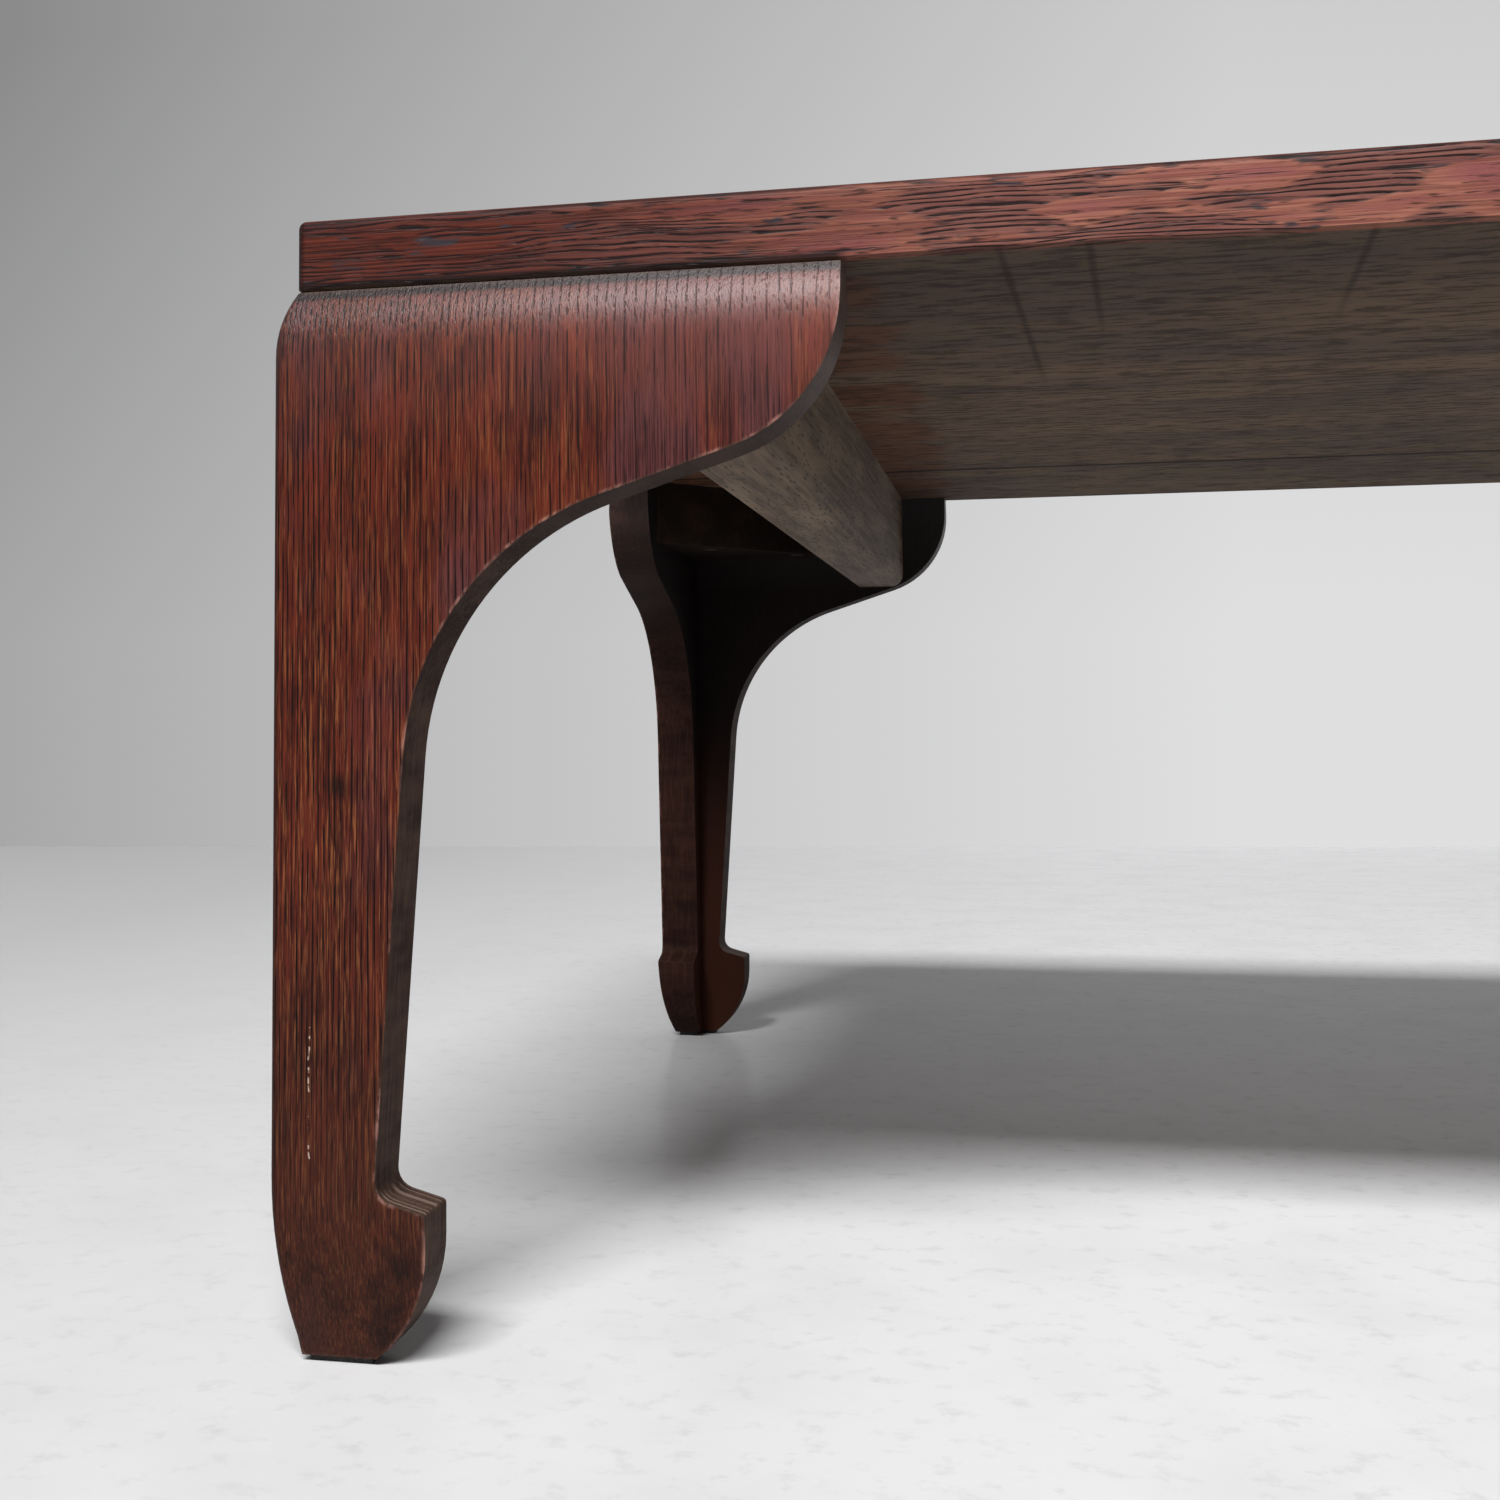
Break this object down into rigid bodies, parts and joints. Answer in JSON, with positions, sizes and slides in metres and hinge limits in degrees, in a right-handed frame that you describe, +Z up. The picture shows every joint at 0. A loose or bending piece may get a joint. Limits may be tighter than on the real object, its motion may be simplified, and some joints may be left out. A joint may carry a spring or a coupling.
{
  "type": "low floor table",
  "caption": "Low floor table with a plank top on mitred, bracketed corner legs with hoof feet, held by cross battens and corner blocks.",
  "frame": {"origin": "on the floor under the middle of the table", "axes": "+X along the table's length, +Y from the front long side to the rear one, +Z up"},
  "size_m": [0.919, 0.616, 0.333],
  "materials": {
    "lacquered_wood": "red-brown wiped lacquer over open-pored wood, worn pale on the arrises",
    "bare_wood": "planed, unfinished and greyed with age",
    "rubber": "thin dark sheet, matt",
    "steel": "plain, dulled"
  },
  "bodies": {
    "root": {"front_left_side_board": "lacquered_wood", "front_left_end_board": "lacquered_wood", "front_right_side_board": "lacquered_wood", "front_right_end_board": "lacquered_wood", "rear_right_side_board": "lacquered_wood", "rear_right_end_board": "lacquered_wood", "rear_left_side_board": "lacquered_wood", "rear_left_end_board": "lacquered_wood", "top_front_plank": "lacquered_wood", "top_middle_plank": "lacquered_wood", "top_rear_plank": "lacquered_wood", "front_left_mitre_spline": "bare_wood", "front_left_corner_block": "bare_wood", "front_right_mitre_spline": "bare_wood", "front_right_corner_block": "bare_wood", "rear_right_mitre_spline": "bare_wood", "rear_right_corner_block": "bare_wood", "rear_left_mitre_spline": "bare_wood", "rear_left_corner_block": "bare_wood", "front_joint_tongue": "bare_wood", "rear_joint_tongue": "bare_wood", "left_batten": "bare_wood", "right_batten": "bare_wood", "front_left_foot_pad": "rubber", "front_right_foot_pad": "rubber", "rear_right_foot_pad": "rubber", "rear_left_foot_pad": "rubber", "corner_block_screws": "steel"}
  },
  "joints": []
}
